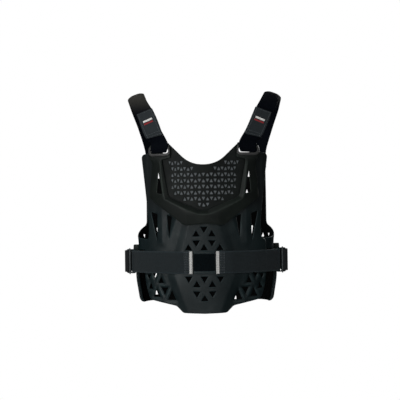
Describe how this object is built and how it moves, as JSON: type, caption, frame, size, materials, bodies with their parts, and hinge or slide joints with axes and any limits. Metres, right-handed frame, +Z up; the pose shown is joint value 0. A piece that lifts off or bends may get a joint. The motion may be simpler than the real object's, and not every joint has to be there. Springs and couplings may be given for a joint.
{
  "type": "chest and back protector",
  "caption": "Worn sport body armour: moulded vented chest and back shells joined by shoulder straps over the shoulders and a wide elastic belt round the waist.",
  "frame": {"origin": "midway between the two shoulder straps, at the height and depth where their undersides rest on the shoulders", "axes": "+Z up, the front of the chest faces -Y, +X is to the right as seen from the front"},
  "size_m": [0.3512, 0.2215, 0.473],
  "materials": {
    "shell_plastic": "satin moulded polyethylene",
    "yoke_plastic": "satin moulded polyethylene",
    "liner_foam": "grey foam liner",
    "strap_webbing": "black woven webbing",
    "strap_tab": "dark grey hook-and-loop tab",
    "belt_elastic": "black ribbed elastic",
    "belt_tape": "white woven tape",
    "belt_pile": "black pile",
    "buckle_plastic": "satin nylon"
  },
  "bodies": {
    "root": {"front_shell": "shell_plastic", "back_shell": "shell_plastic", "belt_stop_left": "shell_plastic", "belt_stop_right": "shell_plastic", "chest_yoke": "yoke_plastic", "chest_vent": "yoke_plastic", "vent_liner": "liner_foam", "shoulder_strap_left": "strap_webbing", "shoulder_strap_right": "strap_webbing", "strap_tab_left": "strap_tab", "strap_tab_right": "strap_tab", "belt_left": "belt_elastic", "belt_right": "belt_elastic", "rear_strap_left": "belt_elastic", "rear_strap_right": "belt_elastic", "belt_tape_left": "belt_tape", "belt_tape_right": "belt_tape", "belt_patch": "belt_pile", "side_buckle_left": "buckle_plastic", "side_buckle_right": "buckle_plastic"}
  },
  "joints": []
}
